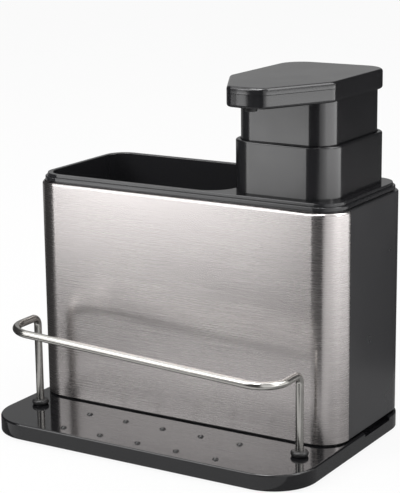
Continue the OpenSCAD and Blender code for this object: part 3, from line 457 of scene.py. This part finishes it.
def makeHeadLid(s):
    half = s["width"] / 2
    middle = Vector((s["stemX"], s["stemY"], 0))
    front = s["tipFront"] - s["blankSpare"]
    piece = begin(bpy.ops.mesh.primitive_cube_add, "head_lid", size=1,
                  location=(s["stemX"], s["stemY"] + (s["back"] + front) / 2, (s["lowZ"] + s["topZ"]) / 2),
                  scale=(s["width"], s["back"] - front, s["topZ"] - s["lowZ"]))
    bpy.ops.object.mode_set(mode="EDIT")
    # Plan: cut the two tapers and the shallow arrow of the tip, then round every upright edge
    for side in (-1, 1):
        for a, b in (((half, s["taperFrom"]), (s["tipHalf"], s["tipSide"])),
                     ((s["tipHalf"], s["tipSide"]), (0, s["tipFront"]))):
            along = Vector((side * (b[0] - a[0]), b[1] - a[1], 0))
            out = Vector((-along.y, along.x, 0)).normalized() * side
            bpy.ops.mesh.select_all(action="SELECT")
            bpy.ops.mesh.bisect(plane_co=middle + Vector((side * a[0], a[1], 0)), plane_no=out,
                                use_fill=True, clear_outer=True)

    def upright(x, y):
        def wanted(e):
            a, b = (v.co for v in e.verts)
            inPlace = near(abs(a.x - middle.x), x) and near(a.y - middle.y, y)
            return inPlace and abs((a - b).normalized().z) > mostly

        return wanted

    taperTurn = math.atan2(half - s["tipHalf"], s["taperFrom"] - s["tipSide"])
    frontTurn = math.atan2(s["tipSide"] - s["tipFront"], s["tipHalf"])
    for x, y, radius, turn, steps in (
            (half, s["back"], s["cornerR"], math.pi / 2, 16),
            (half, s["taperFrom"], s["taperR"], taperTurn, 8),
            (s["tipHalf"], s["tipSide"], s["tipR"], math.pi / 2 - taperTurn - frontTurn, 10),
            (0, s["tipFront"], s["bowR"], 2 * frontTurn, 8)):
        pick(piece, "EDGE", upright(x, y))
        roundSelected(radius * math.tan(turn / 2), steps)
    # Underside: the locating rim that drops into the head, with a shallow pocket inside it
    pick(piece, "FACE", lambda f: f.normal.z < -mostly)
    bpy.ops.mesh.inset(thickness=s["rimIn"], depth=0)
    bpy.ops.mesh.extrude_region_move(TRANSFORM_OT_translate={"value": (0, 0, -s["rimDrop"])})
    bpy.ops.mesh.inset(thickness=s["rimWall"], depth=0)
    bpy.ops.mesh.extrude_region_move(TRANSFORM_OT_translate={"value": (0, 0, s["rimDrop"] + s["pocketUp"])})

    # Soft top edge, fine groove at the seam
    def outerWall(f):
        return abs(f.normal.z) < hardly and max(v.co.z for v in f.verts) > s["lowZ"] + s["wallLow"]

    for z, size, steps in ((s["topZ"], s["edgeR"], 6), (s["lowZ"], s["seam"], 2)):
        pick(piece, "EDGE", lambda e: all(near(v.co.z, z) for v in e.verts)
             and any(outerWall(f) for f in e.link_faces))
        roundSelected(size, steps)
    turnFacesOut()
    bpy.ops.object.mode_set(mode="OBJECT")
    smoothBy(piece, s["smoothTo"])
    weightNormals(piece)
    piece.data.materials.clear()
    piece.data.materials.append(materials["pumpBlackAbs"])
    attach(piece, "plunger")
    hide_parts("head_cap")
    return piece


lidPiece = makeHeadLid(headLid)
print("head lid:", len(lidPiece.data.polygons), "faces")

returnSpring = {
    "stemX": 51.2 * mm, "stemY": 21.4 * mm, "footZ": 94.05 * mm, "rise": 23.45 * mm, "coilR": 6.0 * mm,
    "wireR": 0.6 * mm, "turns": 6, "steps": 24, "round": 12, "travel": 15.0 * mm, "weld": 0.005 * mm,
    "smoothTo": 40,
}


def makeReturnSpring(s):
    # The wire's round section, swept up its coil
    piece = begin(bpy.ops.mesh.primitive_circle_add, "spring_coil", vertices=s["round"], radius=s["wireR"],
                  location=(s["coilR"], 0, 0), rotation=(math.pi / 2, 0, 0))
    useModifier(piece, "SCREW", axis="Z", angle=2 * math.pi, screw_offset=s["rise"] / s["turns"],
                iterations=s["turns"], steps=s["steps"], render_steps=s["steps"])
    bpy.ops.object.mode_set(mode="EDIT")
    weld(s["weld"])
    bpy.ops.mesh.fill_holes(sides=0)
    turnFacesOut()
    bpy.ops.transform.translate(value=(s["stemX"], s["stemY"], s["footZ"]))
    bpy.ops.object.mode_set(mode="OBJECT")
    smoothBy(piece, s["smoothTo"])
    piece.data.materials.append(materials["springSteel"])
    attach(piece, "pump_unit")
    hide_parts("return_spring")
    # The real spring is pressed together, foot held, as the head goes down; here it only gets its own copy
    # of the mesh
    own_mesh(piece)
    return piece


springPiece = makeReturnSpring(returnSpring)
print("return spring:", len(springPiece.data.polygons), "faces")

stage = {
    "floorSize": 8.0, "floorDrop": 0.05 * mm, "floorColour": "#F4F4F4", "floorShare": 0.9,
    "worldStrength": 0.55,
}


def rayShare(tree):
    # 1 where the camera, a mirror or clear plastic looks at the background, 0 for soft light
    rays = addNode(tree, "ShaderNodeLightPath")
    first = addNode(tree, "ShaderNodeMath", {"operation": "MAXIMUM"},
                    {0: rays.outputs["Is Camera Ray"], 1: rays.outputs["Is Glossy Ray"]})
    return addNode(tree, "ShaderNodeMath", {"operation": "MAXIMUM"},
                   {0: first.outputs[0], 1: rays.outputs["Is Transmission Ray"]})


def makeFloor(s):
    floor = begin(bpy.ops.mesh.primitive_plane_add, "studio_floor", size=s["floorSize"],
                  location=(0, 0, -s["floorDrop"]))
    material, tree = newMaterial("white sweep")
    seen = rayShare(tree)
    share = addNode(tree, "ShaderNodeMath", {"operation": "MULTIPLY", 1: s["floorShare"]},
                    {0: seen.outputs[0]})
    paper = addNode(tree, "ShaderNodeBsdfDiffuse", {"Color": linearColour(s["floorColour"])})
    glow = addNode(tree, "ShaderNodeEmission", {"Color": (1, 1, 1, 1), "Strength": 1.0})
    mix = addNode(tree, "ShaderNodeMixShader",
                  links={0: share.outputs[0], 1: paper.outputs[0], 2: glow.outputs[0]})
    addNode(tree, "ShaderNodeOutputMaterial", links={"Surface": mix.outputs[0]})
    floor.data.materials.append(material)


def makeWorld(s):
    world = bpy.data.worlds.new("white studio")
    bpy.context.scene.world = world
    world.use_nodes = True
    tree = world.node_tree
    tree.nodes.clear()
    seen = rayShare(tree)
    strength = addNode(tree, "ShaderNodeMapRange", {"To Min": s["worldStrength"], "To Max": 1.0},
                       {0: seen.outputs[0]})
    glow = addNode(tree, "ShaderNodeBackground", {"Color": (1, 1, 1, 1)},
                   {"Strength": strength.outputs["Result"]})
    addNode(tree, "ShaderNodeOutputWorld", links={"Surface": glow.outputs[0]})


# Where a lamp or a card stands, and the point that it faces
def facing(place, aim):
    way = Vector(aim) - Vector(place)
    return Matrix.Translation(place) @ way.to_track_quat("-Z", "Y").to_matrix().to_4x4()


lamps = {
    "key softbox": {"place": (-0.7, -1.0, 0.9), "aim": (0, 0, 0.08), "size": (0.9, 0.9), "watts": 9},
    "top softbox": {"place": (0.1, 0.1, 1.4), "aim": (0, 0, 0.1), "size": (1.2, 1.2), "watts": 8},
    "side strip": {"place": (1.3, -0.1, 0.6), "aim": (0, 0, 0.08), "size": (0.3, 1.0), "watts": 2},
}


def makeLamp(name, s):
    light = bpy.data.lights.new(name, "AREA")
    light.shape = "RECTANGLE"
    light.size, light.size_y = s["size"]
    light.energy = s["watts"]
    lamp = bpy.data.objects.new(name, light)
    bpy.context.scene.collection.objects.link(lamp)
    lamp.matrix_world = facing(s["place"], s["aim"])


def sector(point, start, end):
    return [(point, start, "right"), (point, end, "left")]


# Cards that only the gloss sees: lit and black areas on the table, upright round it and over it,
# as in a product studio. Table and wall cards are discs and ring walls about "middle", cut along
# lines: each cut is a point and an angle, in degrees from the front (-Y) towards the right (+X),
# and keeps the side that lies anticlockwise ("right") or clockwise ("left") of the line. A later
# table card lies over an earlier one
cardMiddle, keyPoint = (0.069, 0.0), (0.05, -0.01)
glossCards = {
    "middle": cardMiddle, "wallR": 1.45, "wallStep": 0.01, "layer": 0.05 * mm, "firstLayer": 2, "round": 96,
    "table": [
        {"r": (0.0, 1.45), "glow": (0.05, 0.05)},
        # Key, to the left of the front: the steel, the lit faces of the pump
        {"r": (0.0, 1.45), "glow": (2.2, 2.2), "cuts": sector(keyPoint, -45.5, -24.5)},
        {"r": (0.6, 1.08), "glow": (3.3, 4.6), "cuts": sector(keyPoint, -45.5, -24.5)},
        # Right side, brighter in steps: the rounded right corners and the housing's side
        {"r": (0.0, 1.45), "glow": (0.9, 0.9), "cuts": sector(cardMiddle, 31, 135)},
        {"r": (0.0, 1.45), "glow": (1.5, 1.5), "cuts": sector(cardMiddle, 42, 135)},
        {"r": (0.0, 1.45), "glow": (1.7, 2.5), "cuts": sector(cardMiddle, 52, 135)},
        {"r": (0.0, 1.45), "glow": (1.9, 4.3), "cuts": sector(cardMiddle, 62, 135)},
        # Back and left: what the flat tops see
        {"r": (0.6, 1.0), "glow": (0.2, 0.05), "cuts": sector(cardMiddle, 135, 170)},
        {"r": (0.0, 1.45), "glow": (0.3, 0.3), "cuts": sector((0.0, 0.0), -165, -100)},
        # Near the caddy: the low parts of the steel, the side and the tray's edge
        {"r": (0.0, 0.585), "glow": (0.05, 0.05)},
        {"r": (0.28, 0.585), "glow": (0.1, 0.5),
         "cuts": [((-0.08, -0.01), -50, "right"), ((0.067, -0.016), -27.9, "left")]},
        {"r": (0.2, 0.585), "glow": (0.6, 0.95), "cuts": sector((0.0715, -0.0025), 21, 145)},
        {"r": (0.0, 0.14), "glow": (0.3, 0.3), "cuts": [((0.0, -0.07), 90, "right")]},
        {"middle": (0.0, 0.0), "r": (0.0, 0.15), "glow": (0.7, 0.7), "cuts": [((0.0, -0.0615), 90, "left")]},
    ],
    "wall": [
        {"z": (0.0, 1.6), "glow": 0.05},
        {"z": (0.0, 1.6), "glow": 1.6, "cuts": sector(cardMiddle, -44, -27)},
        {"z": (0.0, 1.6), "glow": 1.0, "cuts": sector(cardMiddle, 30, 136)},
        {"z": (0.0, 1.6), "glow": 0.4, "cuts": sector(cardMiddle, -165, -124)},
    ],
    "hung": {
        "ceiling": {"place": (0.0, 0.0, 1.62), "aim": (0.0, 0.0, 0.0), "size": (3.2, 3.2), "glow": 0.05},
        "over": {"place": (-0.1, -0.45, 1.3), "aim": (0.0, 0.0, 0.0), "size": (0.6, 0.6), "glow": 12.0},
        "left": {"place": (-0.62, 0.05, 1.15), "aim": (0.0, 0.0, 0.1), "size": (0.9, 0.5), "glow": 1.4},
        "right": {"place": (0.8, 0.36, 1.05), "aim": (0.05, 0.0, 0.15), "size": (0.8, 0.8), "glow": 4.0},
    },
}


def cardPaint(name, inner, outer, start=0.0, reach=1.0):
    # The glow runs from inner to outer between two distances from the card's middle
    material, tree = newMaterial(name)
    place = addNode(tree, "ShaderNodeTexCoord")
    away = addNode(tree, "ShaderNodeVectorMath", {"operation": "LENGTH"}, {0: place.outputs["Object"]})
    glow = addNode(tree, "ShaderNodeMapRange",
                   {"From Min": start, "From Max": reach, "To Min": inner, "To Max": outer},
                   {0: away.outputs["Value"]})
    light = addNode(tree, "ShaderNodeEmission", links={"Strength": glow.outputs["Result"]})
    addNode(tree, "ShaderNodeOutputMaterial", links={"Surface": light.outputs[0]})
    return material


def makeCard(name, addPrimitive, place, look, cuts, **how):
    bpy.ops.object.select_all(action="DESELECT")
    addPrimitive(location=place, **how)
    card = bpy.context.object
    card.name = card.data.name = name
    bpy.ops.object.mode_set(mode="EDIT")
    for point, degrees, side in cuts:
        turn = math.radians(degrees)
        bpy.ops.mesh.select_all(action="SELECT")
        bpy.ops.mesh.bisect(plane_co=(point[0], point[1], 0), plane_no=(math.cos(turn), math.sin(turn), 0),
                            clear_inner=side == "right", clear_outer=side == "left")
    bpy.ops.object.mode_set(mode="OBJECT")
    card.data.materials.append(cardPaint(name + " paint", *look))
    card.visible_camera = card.visible_diffuse = card.visible_shadow = False
    card.visible_transmission = card.visible_volume_scatter = False
    return card


def makeCards(s):
    for i, card in enumerate(s["table"]):
        x, y = card.get("middle", s["middle"])
        z = (i + s["firstLayer"]) * s["layer"]
        makeCard(f"gloss_table_{i}", bpy.ops.mesh.primitive_circle_add, (x, y, z),
                 (*card["glow"], *card["r"]), card.get("cuts", []), vertices=s["round"],
                 radius=card["r"][1], fill_type="NGON")
    x, y = s["middle"]
    for i, card in enumerate(s["wall"]):
        low, high = card["z"]
        makeCard(f"gloss_wall_{i}", bpy.ops.mesh.primitive_cylinder_add, (x, y, (low + high) / 2),
                 (card["glow"], card["glow"]), card.get("cuts", []), vertices=s["round"],
                 radius=s["wallR"] - i * s["wallStep"], depth=high - low, end_fill_type="NOTHING")
    for name, card in s["hung"].items():
        piece = makeCard("gloss_" + name, bpy.ops.mesh.primitive_plane_add, (0, 0, 0),
                         (card["glow"], card["glow"]), [], size=1)
        piece.matrix_world = facing(card["place"], card["aim"]) @ Matrix.Diagonal((*card["size"], 1, 1))


# The photograph's own camera: its place in metres and its three axes
photoCamera = {
    "place": (0.406652, -0.656159, 0.278687),
    "right": (0.85316384, 0.52151955, -0.01134989),
    "up": (-0.11301767, 0.20604141, 0.97199483),
    "back": (0.50925285, -0.8279881, 0.23472801),
    "lens": 120.03, "sensorWidth": 36, "clipStart": 0.01,
}


def makeCamera(s):
    data = bpy.data.cameras.new("photo camera")
    data.lens, data.sensor_width, data.clip_start = s["lens"], s["sensorWidth"], s["clipStart"]
    camera = bpy.data.objects.new("photo camera", data)
    bpy.context.scene.collection.objects.link(camera)
    turn = Matrix((s["right"], s["up"], s["back"])).transposed().to_4x4()
    camera.matrix_world = Matrix.Translation(s["place"]) @ turn
    bpy.context.scene.camera = camera


makeFloor(stage)
makeWorld(stage)
makeCards(glossCards)
for lampName, lampLook in lamps.items():
    makeLamp(lampName, lampLook)
print("stage and light ready")
makeCamera(photoCamera)
bpy.context.scene.view_settings.view_transform = "Standard"

print("done")
